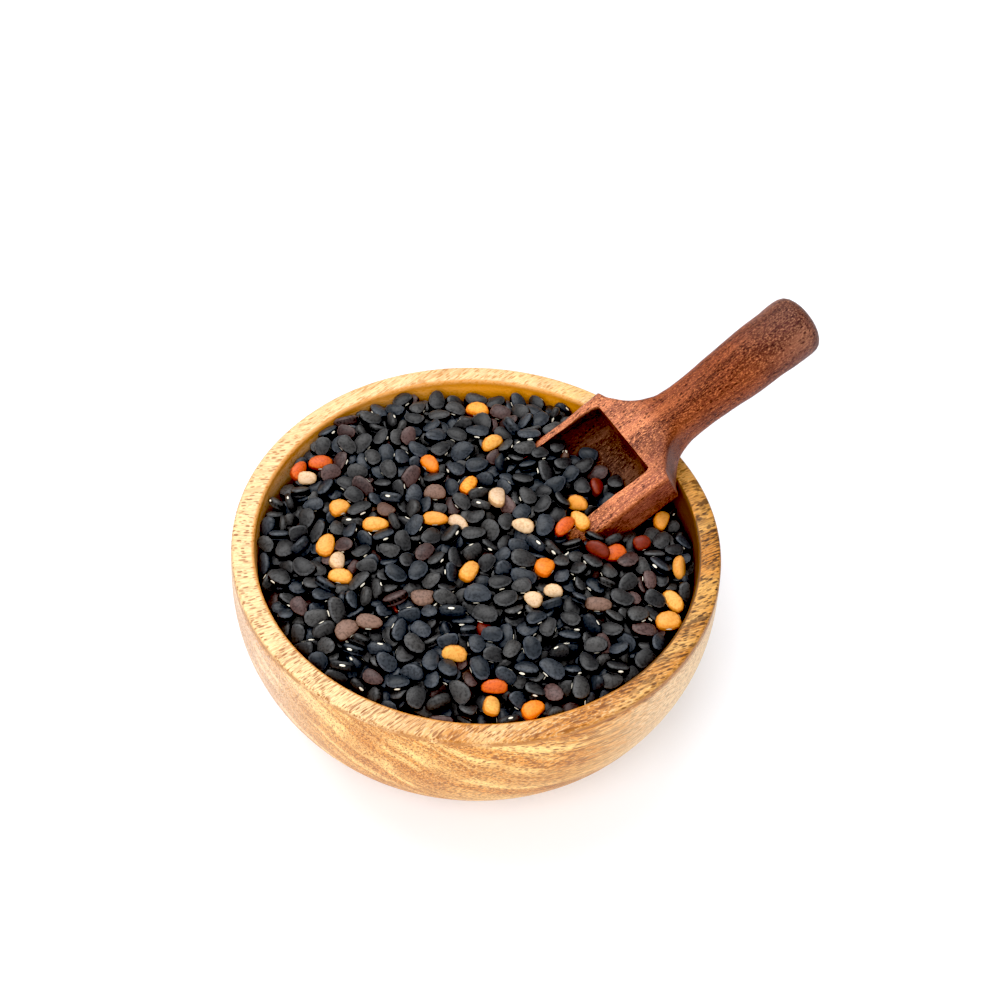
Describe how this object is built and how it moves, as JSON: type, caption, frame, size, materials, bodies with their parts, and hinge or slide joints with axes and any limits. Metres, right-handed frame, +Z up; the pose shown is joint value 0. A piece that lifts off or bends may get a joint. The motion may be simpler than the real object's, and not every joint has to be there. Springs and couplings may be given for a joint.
{
  "type": "bowl of dried beans with scoop",
  "caption": "Round turned wooden bowl heaped with small black dried beans, with scattered orange, tan and red ones, and a carved wooden scoop pushed in at a slant.",
  "frame": {"origin": "centre of the bowl's flat foot, on the surface it stands on", "axes": "+Z up out of the bowl's mouth; the picture looks from -Y, and the scoop's handle points to +X and +Y and up"},
  "size_m": [0.1305, 0.1113, 0.078],
  "materials": {
    "bowl_wood": "satin oiled wood with flowing grain",
    "bean_skin": "satin bean skin",
    "scoop_wood": "satin reddish-brown wood with fine fibres"
  },
  "bodies": {
    "root": {"bowl": "bowl_wood", "beans": "bean_skin", "scoop": "scoop_wood"}
  },
  "joints": []
}
